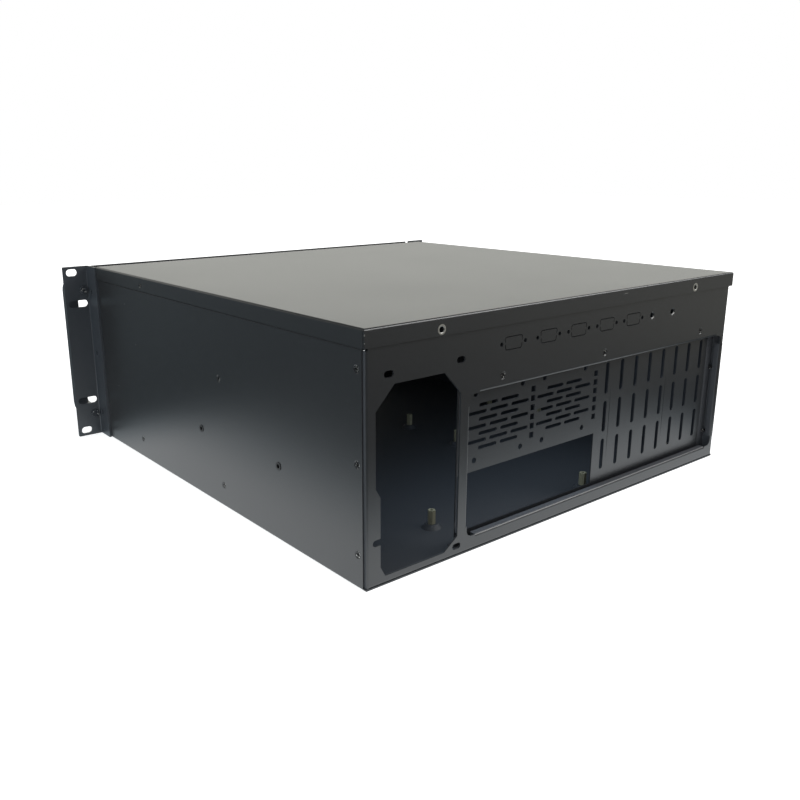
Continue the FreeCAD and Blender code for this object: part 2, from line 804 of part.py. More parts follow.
def lid():
    """The lid: a top sheet with flanges down both sides and the rear, and a short front lip."""
    body = lid_block(0, bend_out, lid_skirt_z).cut(lid_block(sheet, bend, lid_skirt_z - 1))
    inside = lid_half - sheet
    slit_y = lid_rear_y - sheet
    cuts = [box(-inside, inside, lid_front_y - 1, lid_front_y + sheet, lid_skirt_z - 1, lid_top - lid_lip)]
    inward = vec(0, -1, 0)
    for a in ferrule_across:
        face = vec(across(a), lid_rear_y, ferrule_height)
        cuts.append(rod(ferrule_radius, face, inward, ferrule_face))
        cuts.append(rod(ferrule_sleeve, face, inward, sheet + 1))
    for side in (-1, 1):
        start = vec(side * lid_half, ear_y + pin_back, pin_height)
        cuts.append(rod(pin_radius, start, vec(-side, 0, 0), sheet + fit))
        x0 = min(side * (inside - lid_slit), side * (lid_half + 1))
        x1 = max(side * (inside - lid_slit), side * (lid_half + 1))
        cuts.append(box(x0, x1, slit_y - lid_slit, slit_y, lid_skirt_z - 1, lid_top - bend_out))
    return cut_all(body, cuts)


def lid_ferrules():
    rings = []
    inward = vec(0, -1, 0)
    for a in ferrule_across:
        face = vec(across(a), lid_rear_y, ferrule_height)
        ring = rod(ferrule_radius, face, inward, ferrule_face)
        sleeve = rod(ferrule_sleeve, face, inward, sheet)
        bore = rod(ferrule_bore, face, inward, sheet)
        body = ring.fuse(sleeve).cut(bore)
        mouth = [edge for edge in body.Edges
                 if abs(edge.CenterOfMass.y - lid_rear_y) < 0.01 and edge.Length < ferrule_sleeve * 6]
        rings.append(body.makeFillet(ferrule_round, mouth))
    return Part.makeCompound(rings)


def lid_locating_pins():
    pins = []
    for side in (-1, 1):
        inward = vec(-side, 0, 0)
        start = vec(side * lid_half, ear_y + pin_back, pin_height)
        head = rod(pin_head_radius, start - inward * pin_head_thick, inward, pin_head_thick)
        shank = rod(pin_radius, start, inward, pin_reach)
        pins.append(head.fuse(shank))
    return Part.makeCompound(pins)


def front_panel():
    """The front sheet, folded back inside the walls and over the floor, its top edge plain."""
    path = [(panel_half, front_y + front_flange), (panel_half, front_y), (-panel_half, front_y),
            (-panel_half, front_y + front_flange)]
    panel = sheet_run(path, [bend, bend], sheet, -1, "z", sheet, front_rim)
    y0 = front_y - 1
    y1 = front_y + sheet + 1
    end = panel_half - bend_out
    cuts = [box(-end, end, y0, y1, sheet - 1, sheet + land)]
    foot = [(front_y + front_flange, sheet), (front_y, sheet), (front_y, sheet + land)]
    fold = sheet_run(foot, [bend], sheet, -1, "x", -end, end)
    for column in range(front_vent_columns):
        x = front_vent_left + front_vent_pitch * column
        for z in front_vent_rows:
            cuts.append(slot_y(x, z, front_vent_tall, front_vent_wide, y0, y1, upright=True))
    rearward = vec(0, 1, 0)
    for x, radius in ((power_x, power_radius), (reset_x, reset_radius)):
        cuts.append(rod(radius + fit + switch_wall, vec(x, y0, button_height), rearward, sheet + 2))
    for x in lamp_x:
        cuts.append(rod(lamp_radius, vec(x, y0, button_height), rearward, sheet + 2))
    panel = cut_all(panel, cuts).fuse(fold)
    last = corner_cuts(y0, front_y + front_flange + 1)
    for side in (-1, 1):
        for spot in ear_spots(side):
            last.append(rod(screw_radius + screw_gap, spot, vec(-side, 0, 0), screw_long + 1))
    return cut_all(panel, last)


def front_rail():
    """An angle welded inside the front panel's top edge, under the lid's front lip."""
    path = [(front_y + sheet, rail_z - rail_skirt), (front_y + sheet, rail_z), (front_y + rail_deep, rail_z)]
    end = upper_wall - sheet - fit
    return sheet_run(path, [bend], sheet, -1, "x", -end, end)


def rack_ear():
    """The ear on the +X side: an outward flange with rack slots and a flange along the body."""
    path = [(half, ear_y + ear_skirt), (half, front_y), (ear_edge, front_y)]
    ear = sheet_run(path, [ear_bend], ear_thick, 1, "z", 0, ear_height)
    y0 = front_y - 1
    y1 = ear_y + 1
    cuts = []
    for side in (-1, 1):
        outer_z = ear_middle + side * ear_slot_z
        inner_z = ear_middle + side * ear_inner_slot_z
        outer_x = ear_edge - ear_slot_in
        inner_x = ear_edge - ear_inner_slot_in
        cuts.append(slot_y(outer_x, outer_z, ear_slot_long, ear_slot_high, y0, y1))
        cuts.append(slot_y(inner_x, inner_z, ear_inner_slot_long, ear_slot_high, y0, y1))
    cuts += [sunk_hole(spot, vec(-1, 0, 0)) for spot in ear_spots(1)]
    for z in handle_heights():
        cuts.append(rod(handle_screw_radius, vec(handle_x, y0, z), vec(0, 1, 0), ear_thick + 2))
    ear = cut_all(ear, cuts)
    middle_y = ear_y - ear_thick / 2
    corners = [item for item in ear.Edges
               if abs(item.CenterOfMass.x - ear_edge) < 0.01 and abs(item.CenterOfMass.y - middle_y) < 0.01]
    return ear.makeFillet(ear_corner, corners)


def handle_heights():
    return [ear_middle - handle_spacing / 2 - handle_drop, ear_middle + handle_spacing / 2 - handle_drop]


def front_handle():
    """A solid bar bent to a U, standing on the +X ear's front."""
    low, high = handle_heights()
    x0 = handle_x - handle_wide / 2
    x1 = handle_x + handle_wide / 2
    y = front_y - handle_reach
    leg = handle_leg / 2
    inner = handle_bend - handle_bar
    grip = y + handle_bar
    outline = [(front_y, low - leg), (y, low - leg), (y, high + leg), (front_y, high + leg),
               (front_y, high - leg), (grip, high - leg), (grip, low + leg), (front_y, low + leg)]
    handle = prism(outline, [0, handle_bend, handle_bend, 0, 0, inner, inner, 0], "x", x0, x1)
    side = handle_wide / 2
    rims = []
    for edge in handle.Edges:
        middle = edge.CenterOfMass
        if abs(abs(middle.x - handle_x) - side) < 0.01 and middle.y < front_y - 0.01:
            rims.append(edge)
    handle = handle.makeFillet(handle_edge, rims)
    deep = handle_screw_long - ear_thick
    forward = vec(0, -1, 0)
    bores = [rod(handle_screw_radius, vec(handle_x, front_y, z), forward, deep) for z in handle_heights()]
    return cut_all(handle, bores)


def handle_screws():
    """Pan-head screws from the back of each ear into the handle's legs."""
    screws = []
    forward = vec(0, -1, 0)
    for side in (-1, 1):
        for z in handle_heights():
            seat = vec(side * handle_x, ear_y, z)
            head = rod(handle_head_radius, seat - forward * handle_head_thick, forward, handle_head_thick)
            crown_y = ear_y + handle_head_thick
            crown = [edge for edge in head.Edges
                     if abs(edge.CenterOfMass.y - crown_y) < 0.01 and edge.Length > handle_head_radius * 3]
            head = head.makeFillet(handle_head_round, crown)
            shank = rod(handle_screw_radius, seat, forward, handle_screw_long)
            top = seat - forward * handle_head_thick
            recess_cuts = cross_recess(top, forward)
            screws.append(cut_all(head.fuse(shank), recess_cuts))
    return Part.makeCompound(screws)


def wall_screws(spots, side):
    return [sunk_screw(spot, vec(-side, 0, 0)) for spot in spots]


def ear_screws():
    return Part.makeCompound(wall_screws(ear_spots(1), 1) + wall_screws(ear_spots(-1), -1))


def rear_corner_screws():
    count = len(side_screw_heights)
    return Part.makeCompound(wall_screws(side_spots(1)[:count], 1) + wall_screws(side_spots(-1)[:count], -1))


def rear_plate_screws():
    return Part.makeCompound([sunk_screw(spot, vec(0, -1, 0)) for spot in plate_spots()])


def drive_cage_screws():
    return Part.makeCompound(wall_screws(side_spots(1)[len(side_screw_heights):], 1))


def rail_nuts():
    """Threaded inserts pressed into the side walls for a slide rail."""
    nuts = []
    for side in (-1, 1):
        inward = vec(-side, 0, 0)
        for back in rail_nut_back:
            face = vec(side * half, ear_y + back, rail_nut_height)
            start = face - inward * rail_nut_flange
            rim = rod(rail_nut_radius, start, inward, rail_nut_flange)
            body = rod(rail_nut_radius - rail_nut_flange, start, inward, rail_nut_flange + rail_nut_long)
            bore = rod(rail_nut_bore, start, inward, rail_nut_flange + rail_nut_long)
            nuts.append(rim.fuse(body).cut(bore))
    return Part.makeCompound(nuts)


def drive_cage():
    """A folded tray for hard drives, open at the front, rear and top, beside the +X wall."""
    x1 = panel_half
    nearest_post = max(x for x, y in standoff_spots())
    x0 = nearest_post + pad_top_radius + pad_slope + cage_gap
    path = [(x0, sheet + cage_tall), (x0, sheet), (x1, sheet), (x1, sheet + cage_tall)]
    y0 = ear_y + cage_front
    y1 = ear_y + cage_rear
    cage = sheet_run(path, [bend, bend], sheet, 1, "y", y0, y1)
    cuts = []
    for row in range(cage_slot_rows):
        z = cage_slot_low + cage_slot_pitch * row
        for back in cage_slot_columns:
            cuts.append(slot_x(y0 + back, z, cage_slot_long, cage_slot_high, x0 - 1, x0 + sheet + 1))
    inward = vec(-1, 0, 0)
    for back, z in cage_screws:
        start = vec(half, ear_y + back, z)
        cuts.append(rod(screw_radius + screw_gap, start, inward, screw_long + 1))
    for back in rail_nut_back:
        start = vec(half, ear_y + back, rail_nut_height)
        cuts.append(rod(rail_nut_radius, start, inward, rail_nut_long + 1))
    return cut_all(cage, cuts)


def button_housing(x, radius):
    """A push button's housing: a rim on the panel's front and a closed cup behind it."""
    rearward = vec(0, 1, 0)
    bore = radius + fit
    cup = bore + switch_wall
    start = vec(x, front_y - button_rim_thick, button_height)
    rim = rod(cup + button_rim, start, rearward, button_rim_thick)
    body = rod(cup, start, rearward, button_rim_thick + button_deep + switch_back)
    hollow = rod(bore, start, rearward, button_rim_thick + button_deep)
    return rim.fuse(body).cut(hollow)


def button(x, radius, travel):
    """A push button's plunger, its stroke left free behind it."""
    start = vec(x, front_y - button_rim_thick - button_proud, button_height)
    length = button_rim_thick + button_proud + button_deep - travel - fit
    plunger = rod(radius, start, vec(0, 1, 0), length)
    rim = [edge for edge in plunger.Edges if abs(edge.CenterOfMass.y - start.y) < 0.01]
    return plunger.makeFillet(button_round, rim)


def lamp(x):
    """A lamp pressed through the panel, with its collar on the front."""
    rearward = vec(0, 1, 0)
    start = vec(x, front_y - lamp_rim_thick - lamp_proud, button_height)
    stem = rod(lamp_radius, start, rearward, lamp_proud + lamp_rim_thick + sheet + lamp_long)
    rim = [edge for edge in stem.Edges if abs(edge.CenterOfMass.y - start.y) < 0.01]
    return stem.makeFillet(lamp_proud, rim)


def lamp_collars():
    collars = []
    for x in lamp_x:
        start = vec(x, front_y - lamp_rim_thick, button_height)
        ring = rod(lamp_radius + lamp_rim, start, vec(0, 1, 0), lamp_rim_thick)
        collars.append(ring.cut(rod(lamp_radius, start, vec(0, 1, 0), lamp_rim_thick)))
    return Part.makeCompound(collars)


pieces = {
    "base_tray": base_tray(),
    "rear_panel": rear_panel(),
    "io_plate": io_plate(),
    "rear_plate_screws": rear_plate_screws(),
    "motherboard_standoffs": motherboard_standoffs(),
    "lid": lid(),
    "lid_ferrules": lid_ferrules(),
    "lid_locating_pins": lid_locating_pins(),
    "front_panel": front_panel(),
    "front_rail": front_rail(),
    "rack_ear_right": rack_ear(),
    "rack_ear_left": mirrored(rack_ear()),
    "front_handle_right": front_handle(),
    "front_handle_left": mirrored(front_handle()),
    "handle_screws": handle_screws(),
    "ear_screws": ear_screws(),
    "rear_corner_screws": rear_corner_screws(),
    "drive_cage": drive_cage(),
    "drive_cage_screws": drive_cage_screws(),
    "rail_nuts": rail_nuts(),
    "power_button_housing": button_housing(power_x, power_radius),
    "reset_button_housing": button_housing(reset_x, reset_radius),
    "power_button": button(power_x, power_radius, power_travel),
    "reset_button": button(reset_x, reset_radius, reset_travel),
    "power_lamp": lamp(lamp_x[0]),
    "drive_lamp": lamp(lamp_x[1]),
    "lamp_collars": lamp_collars(),
}

os.makedirs("parts", exist_ok=True)
for name, shape in pieces.items():
    shape.exportStep("parts/" + name + ".step")
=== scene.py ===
import bpy
from mathutils import Matrix, Vector


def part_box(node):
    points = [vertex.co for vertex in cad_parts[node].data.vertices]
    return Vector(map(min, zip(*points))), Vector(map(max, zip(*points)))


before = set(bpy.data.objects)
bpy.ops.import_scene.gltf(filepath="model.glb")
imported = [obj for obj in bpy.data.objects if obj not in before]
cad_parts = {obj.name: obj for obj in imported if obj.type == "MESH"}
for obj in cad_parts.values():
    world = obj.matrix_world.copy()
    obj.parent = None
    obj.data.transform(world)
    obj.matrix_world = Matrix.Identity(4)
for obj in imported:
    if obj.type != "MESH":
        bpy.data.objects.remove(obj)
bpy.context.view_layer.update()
bpy.ops.object.select_all(action="DESELECT")
scene = bpy.context.scene
scene.view_settings.view_transform = "Standard"


# ---- Base tray: the case's floor and both side walls, folded from one sheet of steel and powder
# ---- coated black after folding. The inner faces are duller and painted a paler tone, painted light for
# ---- the light that reaches inside the case. The +X wall has three small chips down to bare steel.
def new_material(name):
    material = bpy.data.materials.new(name)
    material.use_nodes = True
    tree = material.node_tree
    tree.nodes.clear()
    output = tree.nodes.new("ShaderNodeOutputMaterial")
    return material, tree, output


def link(tree, source, source_socket, target, target_socket):
    tree.links.new(source.outputs[source_socket], target.inputs[target_socket])


def maths(tree, operation, a, b=None):
    """A Math node; a and b are numbers or (node, socket) pairs."""
    node = tree.nodes.new("ShaderNodeMath")
    node.operation = operation
    for index, value in enumerate((a, b)):
        if isinstance(value, tuple):
            tree.links.new(value[0].outputs[value[1]], node.inputs[index])
        elif value is not None:
            node.inputs[index].default_value = value
    return node


def ramp(tree, source, start, end, low, high, smooth=True):
    """Maps a value from start..end onto low..high; source, low and high may be (node, socket) pairs."""
    node = tree.nodes.new("ShaderNodeMapRange")
    if smooth:
        node.interpolation_type = "SMOOTHSTEP"
    settings = (("From Min", start), ("From Max", end), ("To Min", low), ("To Max", high))
    tree.links.new(source[0].outputs[source[1]], node.inputs["Value"])
    for socket, value in settings:
        if isinstance(value, tuple):
            tree.links.new(value[0].outputs[value[1]], node.inputs[socket])
        else:
            node.inputs[socket].default_value = value
    return node


def noise(tree, place, scale, detail, place_socket="Object"):
    node = tree.nodes.new("ShaderNodeTexNoise")
    node.inputs["Scale"].default_value = scale
    node.inputs["Detail"].default_value = detail
    link(tree, place, place_socket, node, "Vector")
    return node


def colour_mix(tree, first=None, second=None):
    """A colour Mix node with one or both of its colours set."""
    node = tree.nodes.new("ShaderNodeMix")
    node.data_type = "RGBA"
    for socket, colour in (("A", first), ("B", second)):
        if colour is not None:
            node.inputs[socket].default_value = (*colour, 1)
    return node


def two_tone(tree, dark, light, mask):
    """Colour that wanders between two close tones."""
    tone = colour_mix(tree, dark, light)
    link(tree, mask, 0, tone, "Factor")
    return tone


def skin(tree, shader, height, strength, depth):
    """Gives a shader the fine bumps of its surface."""
    bump = tree.nodes.new("ShaderNodeBump")
    bump.inputs["Strength"].default_value = strength
    bump.inputs["Distance"].default_value = depth
    link(tree, height, "Fac", bump, "Height")
    link(tree, bump, "Normal", shader, "Normal")


def mark_mask(tree, place, ragged, marks):
    """1 inside any of the marks, each (middle, half sizes) in metres, with ragged edges."""
    edge = 1.5
    mask = None
    for middle, half in marks:
        offset = tree.nodes.new("ShaderNodeVectorMath")
        offset.operation = "SUBTRACT"
        offset.inputs[1].default_value = middle
        link(tree, place, "Object", offset, "Vector")
        scaled = tree.nodes.new("ShaderNodeVectorMath")
        scaled.operation = "DIVIDE"
        scaled.inputs[1].default_value = half
        link(tree, offset, "Vector", scaled, 0)
        span = tree.nodes.new("ShaderNodeVectorMath")
        span.operation = "LENGTH"
        link(tree, scaled, "Vector", span, 0)
        rough_span = maths(tree, "ADD", (span, "Value"), (ragged, 0))
        within = maths(tree, "LESS_THAN", (rough_span, 0), edge)
        mask = within if mask is None else maths(tree, "MAXIMUM", (mask, 0), (within, 0))
    return mask


most_of_noise = (0.3, 0.7)


def bare_steel(tree, ragged):
    """The steel that shows where a finish is chipped or worn through."""
    dull_tone = (0.42, 0.42, 0.41)
    bright_tone = (0.80, 0.79, 0.76)
    gloss_low = 0.35
    gloss_high = 0.55
    shader = tree.nodes.new("ShaderNodeBsdfPrincipled")
    shader.inputs["Metallic"].default_value = 1.0
    tone = two_tone(tree, dull_tone, bright_tone, ragged)
    link(tree, tone, "Result", shader, "Base Color")
    link(tree, ramp(tree, (ragged, 0), *most_of_noise, gloss_low, gloss_high), 0, shader, "Roughness")
    return shader


def powder_coat(name, dark, light, roughness, grain, depth, marks=(), painted_light_tone=None, painted_light_where=None):
    """Black powder coat: two close greys, a fine bumpy skin and slow changes of gloss. Where
    painted_light_where(tree, place) is 1 the coat is duller and takes the paler tone painted_light_tone,
    which is painted light for faces that should look more lit."""
    coat_ior = 1.8
    fine_detail = 2.0
    skin_strength = 0.4
    patch_scale = 9.0
    patch_detail = 3.0
    patch_reach = (0.2, 0.8)
    gloss_low = roughness - 0.006
    gloss_high = roughness + 0.008
    duller_extra_roughness = 0.42
    chip_scale = 1500.0
    chip_detail = 1.0
    material, tree, output = new_material(name)
    place = tree.nodes.new("ShaderNodeTexCoord")
    shader = tree.nodes.new("ShaderNodeBsdfPrincipled")
    shader.inputs["IOR"].default_value = coat_ior
    fine = noise(tree, place, grain, fine_detail)
    slow = noise(tree, place, patch_scale, patch_detail)
    colour = two_tone(tree, dark, light, fine)
    gloss = ramp(tree, (slow, 0), *patch_reach, gloss_low, gloss_high)
    if painted_light_where is not None:
        mask = painted_light_where(tree, place)
        paler = colour_mix(tree, None, painted_light_tone)
        link(tree, mask, 0, paler, "Factor")
        link(tree, colour, "Result", paler, "A")
        colour = paler
        duller = maths(tree, "MULTIPLY", (mask, 0), duller_extra_roughness)
        gloss = maths(tree, "ADD", (gloss, 0), (duller, 0))
    link(tree, colour, "Result", shader, "Base Color")
    link(tree, gloss, 0, shader, "Roughness")
    skin(tree, shader, fine, skin_strength, depth)
    if marks:
        ragged = noise(tree, place, chip_scale, chip_detail)
        chipped = tree.nodes.new("ShaderNodeMixShader")
        link(tree, mark_mask(tree, place, ragged, marks), 0, chipped, "Fac")
        link(tree, shader, "BSDF", chipped, 1)
        link(tree, bare_steel(tree, ragged), "BSDF", chipped, 2)
        link(tree, chipped, "Shader", output, "Surface")
    else:
        link(tree, shader, "BSDF", output, "Surface")
    return material


def finish_node(name, material):
    """Gives a CAD node its material on every slot."""
    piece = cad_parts[name]
    piece.data.materials.clear()
    piece.data.materials.append(material)


behind_outer_face = 0.0009
above_underside = 0.0006


def inside_tray(tree, place):
    """1 on the tray's inner faces: above its underside and between its side walls' outer faces."""
    low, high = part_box("base_tray")
    split = tree.nodes.new("ShaderNodeSeparateXYZ")
    link(tree, place, "Object", split, "Vector")
    off_middle = maths(tree, "ABSOLUTE", (split, "X"))
    between = maths(tree, "LESS_THAN", (off_middle, 0), high.x - behind_outer_face)
    above = maths(tree, "GREATER_THAN", (split, "Z"), low.z + above_underside)
    return maths(tree, "MULTIPLY", (between, 0), (above, 0))


coat_tones = ((0.0150, 0.0158, 0.0172), (0.0215, 0.0226, 0.0245))
coat_roughness = 0.28
coat_grain = 1500.0
coat_depth = 0.00014
outer_coat = (*coat_tones, coat_roughness, coat_grain, coat_depth)
# Painted light: the tray's inner faces take this paler tone in place of light reaching inside the case.
inside_painted_light_tone = (0.020, 0.0235, 0.029)
side_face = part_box("base_tray")[1].x
high_chip = (side_face, -0.119, 0.148)
middle_chip = (side_face, -0.100, 0.112)
low_chip = (side_face, -0.150, 0.062)
chip_size = (0.0005, 0.0005, 0.0005)
tray_marks = [(high_chip, chip_size), (middle_chip, chip_size), (low_chip, chip_size)]
tray_coat = powder_coat("tray_coat", *outer_coat, tray_marks, inside_painted_light_tone, inside_tray)
finish_node("base_tray", tray_coat)


# ---- Rear panel: one steel sheet, its window's edges folded in, coated as the tray is and fixed to the
# ---- side walls by the corner screws. Its folded-in edges are painted paler and duller, painted light for
# ---- the light that falls into the window's recess. Two round jack holes have bare steel on one side of
# ---- their rims, the side that catches the light: real bare edges with a painted highlight.
rear_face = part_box("rear_panel")[1].y
fold_begins = 0.0004
fold_ends = 0.0014


def folded_in(tree, place):
    """1 on the rear panel's edges that are folded in, in front of its rear face."""
    split = tree.nodes.new("ShaderNodeSeparateXYZ")
    link(tree, place, "Object", split, "Vector")
    return ramp(tree, (split, "Y"), rear_face - fold_begins, rear_face - fold_ends, 0.0, 1.0)


# Painted light: the folded-in edges take this paler tone in place of light falling into the window's recess.
folded_painted_light_tone = (0.044, 0.048, 0.056)
# Painted highlight: bare steel on one side of each jack hole's rim, where the light catches it; the bare edge
# itself is real.
jack_across = (-0.0925, -0.1227)
jack_height = 0.1514
rim_radius = 0.0022
rim_drop = 0.0014
rim_depth = 0.0003
bare_rim_painted_highlight_size = (0.0007, 0.0006, 0.0010)
rear_marks = []
for across in jack_across:
    bare_rim_painted_highlight = (across - rim_radius, rear_face - rim_depth, jack_height - rim_drop)
    rear_marks.append((bare_rim_painted_highlight, bare_rim_painted_highlight_size))
rear_coat = powder_coat("rear_coat", *outer_coat, rear_marks, folded_painted_light_tone, folded_in)
finish_node("rear_panel", rear_coat)


# ---- Recessed plate for the board's sockets and cards: a punched steel sheet, coated black, held
# ---- against the rear panel's inner side by screws over the window
inner_tones = ((0.0140, 0.0150, 0.0170), (0.0190, 0.0203, 0.0230))
thin_depth = 0.00012
inner_coat = powder_coat("inner_coat", *inner_tones, roughness=0.30, grain=coat_grain, depth=thin_depth)
finish_node("io_plate", inner_coat)


# ---- Rear screws: countersunk cross-head screws of oxide-black steel, driven a little below the sheet's
# ---- face. They hold the rear panel to the side walls and the recessed plate to the rear panel, and the
# ---- driver has worn bright flecks in them.
def black_oxide(name, dark, light, roughness, scale, bare_from):
    """Blackened steel; bare steel shows where the noise is above bare_from."""
    edge = 0.02
    patch_detail = 1.0
    gloss_low = roughness - 0.05
    gloss_high = roughness + 0.08
    material, tree, output = new_material(name)
    place = tree.nodes.new("ShaderNodeTexCoord")
    patches = noise(tree, place, scale, patch_detail)
    shader = tree.nodes.new("ShaderNodeBsdfPrincipled")
    gloss = ramp(tree, (patches, 0), *most_of_noise, gloss_low, gloss_high)
    link(tree, two_tone(tree, dark, light, patches), "Result", shader, "Base Color")
    link(tree, gloss, 0, shader, "Roughness")
    worn = tree.nodes.new("ShaderNodeMixShader")
    bare = ramp(tree, (patches, 0), bare_from - edge, bare_from + edge, 0.0, 1.0)
    link(tree, bare, 0, worn, "Fac")
    link(tree, shader, "BSDF", worn, 1)
    link(tree, bare_steel(tree, patches), "BSDF", worn, 2)
    link(tree, worn, "Shader", output, "Surface")
    return material


oxide_tones = ((0.008, 0.008, 0.009), (0.022, 0.022, 0.023))
screw_finish = black_oxide("black_oxide", *oxide_tones, roughness=0.32, scale=700.0, bare_from=0.60)
for name in ("rear_corner_screws", "rear_plate_screws"):
    finish_node(name, screw_finish)


# ---- Board posts: nine hexagonal brass standoffs, dulled and bored at the top, their studs screwed into
# ---- the pads pressed up from the tray's floor
def streaked_metal(name, colour, roughness, stretch, metallic=1.0):
    """Bare or plated metal with fine streaks, drawn out along the axis with the smallest stretch."""
    dark_share = 0.78
    streak_scale = 700.0
    streak_detail = 4.0
    streak_strength = 0.15
    streak_depth = 0.00005
    gloss_low = roughness - 0.08
    gloss_high = roughness + 0.12
    material, tree, output = new_material(name)
    place = tree.nodes.new("ShaderNodeTexCoord")
    mapping = tree.nodes.new("ShaderNodeMapping")
    mapping.inputs["Scale"].default_value = stretch
    link(tree, place, "Object", mapping, "Vector")
    streak = noise(tree, mapping, streak_scale, streak_detail, "Vector")
    shader = tree.nodes.new("ShaderNodeBsdfPrincipled")
    shader.inputs["Metallic"].default_value = metallic
    dark = [channel * dark_share for channel in colour]
    gloss = ramp(tree, (streak, 0), 0, 1, gloss_low, gloss_high)
    link(tree, two_tone(tree, dark, colour, streak), "Result", shader, "Base Color")
    link(tree, gloss, 0, shader, "Roughness")
    skin(tree, shader, streak, streak_strength, streak_depth)
    link(tree, shader, "BSDF", output, "Surface")
    return material


dull_brass = (0.24, 0.235, 0.17)
turned_brass = streaked_metal("turned_brass", dull_brass, roughness=0.40, stretch=(1, 1, 0.2), metallic=0.25)
finish_node("motherboard_standoffs", turned_brass)


# ---- Front panel and rail: a coated steel sheet folded back inside the walls, and the angle welded
# ---- inside its top edge to carry the lid's front lip
finish_node("front_panel", powder_coat("front_coat", *outer_coat))
finish_node("front_rail", inner_coat)


# ---- Drive cage: a folded steel tray for hard drives behind the front, thinly coated and matt, held
# ---- to the +X wall by the same countersunk screws as the rear panel. Its near-black tone is painted
# ---- shade for the dark inside of the case.
cage_painted_shade_tones = ((0.006, 0.006, 0.007), (0.010, 0.010, 0.012))
cage_coat = powder_coat("cage_coat", *cage_painted_shade_tones, roughness=0.55, grain=coat_grain, depth=thin_depth)
finish_node("drive_cage", cage_coat)
finish_node("drive_cage_screws", screw_finish)


# ---- Rail nuts: threaded inserts of dull zinc-plated steel, pressed into the side walls so that slide
# ---- rails can be screwed on
zinc_stretch = (1, 1, 3)
dull_zinc = streaked_metal("dull_zinc", (0.12, 0.12, 0.12), roughness=0.45, stretch=zinc_stretch)
finish_node("rail_nuts", dull_zinc)


# ---- Rack ears: thick folded steel angles, coated a shade greyer than the case, held to its side walls
# ---- by countersunk screws that were coated along with them
ear_tones = ((0.034, 0.039, 0.046), (0.045, 0.051, 0.060))
ear_coat = powder_coat("ear_coat", *ear_tones, roughness=0.34, grain=coat_grain, depth=thin_depth)
for name in ("rack_ear_right", "rack_ear_left"):
    finish_node(name, ear_coat)
coated_screw_tones = ((0.026, 0.030, 0.036), (0.040, 0.045, 0.053))
coated_screws = black_oxide("coated_screws", *coated_screw_tones, roughness=0.36, scale=520.0, bare_from=0.61)
finish_node("ear_screws", coated_screws)


# ---- Front handles: solid bars bent to a U and coated satin black, each held by two pan-head screws
# ---- driven through the ear from behind
handle_tones = ((0.030, 0.034, 0.040), (0.040, 0.045, 0.052))
satin = powder_coat("satin_black", *handle_tones, roughness=0.32, grain=2600.0, depth=0.00004)
for name in ("front_handle_right", "front_handle_left"):
    finish_node(name, satin)
finish_node("handle_screws", coated_screws)


# ---- Front controls: two push buttons in moulded plastic housings and two lamps in moulded collars,
# ---- pressed into holes in the front panel
def moulded(name, dark, light, roughness):
    """Moulded plastic: close tones, a faint orange-peel skin and slow changes of gloss."""
    detail = 2.0
    peel_scale = 900.0
    peel_strength = 0.2
    peel_depth = 0.00004
    patch_scale = 60.0
    gloss_low = roughness - 0.04
    gloss_high = roughness + 0.06
    material, tree, output = new_material(name)
    place = tree.nodes.new("ShaderNodeTexCoord")
    peel = noise(tree, place, peel_scale, detail)
    slow = noise(tree, place, patch_scale, detail)
    shader = tree.nodes.new("ShaderNodeBsdfPrincipled")
    gloss = ramp(tree, (slow, 0), *most_of_noise, gloss_low, gloss_high)
    link(tree, two_tone(tree, dark, light, slow), "Result", shader, "Base Color")
    link(tree, gloss, 0, shader, "Roughness")
    skin(tree, shader, peel, peel_strength, peel_depth)
    link(tree, shader, "BSDF", output, "Surface")
    return material


plastic_tones = ((0.020, 0.020, 0.021), (0.028, 0.028, 0.029))
green_tones = ((0.08, 0.30, 0.12), (0.10, 0.36, 0.15))
amber_tones = ((0.45, 0.22, 0.04), (0.52, 0.27, 0.05))
dark_plastic = moulded("moulded_plastic", *plastic_tones, roughness=0.42)
for name in ("power_button_housing", "reset_button_housing", "power_button", "reset_button", "lamp_collars"):
    finish_node(name, dark_plastic)
finish_node("power_lamp", moulded("lamp_green", *green_tones, roughness=0.12))
finish_node("drive_lamp", moulded("lamp_amber", *amber_tones, roughness=0.12))


# ---- Lid: a steel sheet with flanges down both sides and the rear and a short lip at the front, coated as
# ---- the tray is and set down over the case. Its rear corner is chipped along the open seam, and the rear
# ---- flange is scratched.
lid_corner = Vector(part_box("lid")[1])
seam_inset = 0.0002
seam_chips = ((0.004, 0.0009), (0.009, 0.0005))
seam_chip_width = 0.0003
scratch_across = -0.051
scratch_drop = 0.0038
scratch_size = (0.0025, 0.0004, 0.00018)
lid_marks = []
for drop, half_height in seam_chips:
    middle = lid_corner - Vector((seam_inset, seam_inset, drop))
    lid_marks.append((middle, (seam_chip_width, seam_chip_width, half_height)))
scratch = Vector((scratch_across, lid_corner.y, lid_corner.z - scratch_drop))
lid_marks.append((scratch, scratch_size))
finish_node("lid", powder_coat("lid_coat", *outer_coat, lid_marks))


# ---- Lid fittings: two bright zinc-plated ferrules pressed into the rear flange, which held the missing
# ---- thumbscrews, and a black headed pin in each side flange, whose shank drops into an open-topped
# ---- notch in the wall
zinc_plate = streaked_metal("zinc_plate", (0.92, 0.91, 0.87), roughness=0.34, stretch=zinc_stretch)
finish_node("lid_ferrules", zinc_plate)
finish_node("lid_locating_pins", screw_finish)


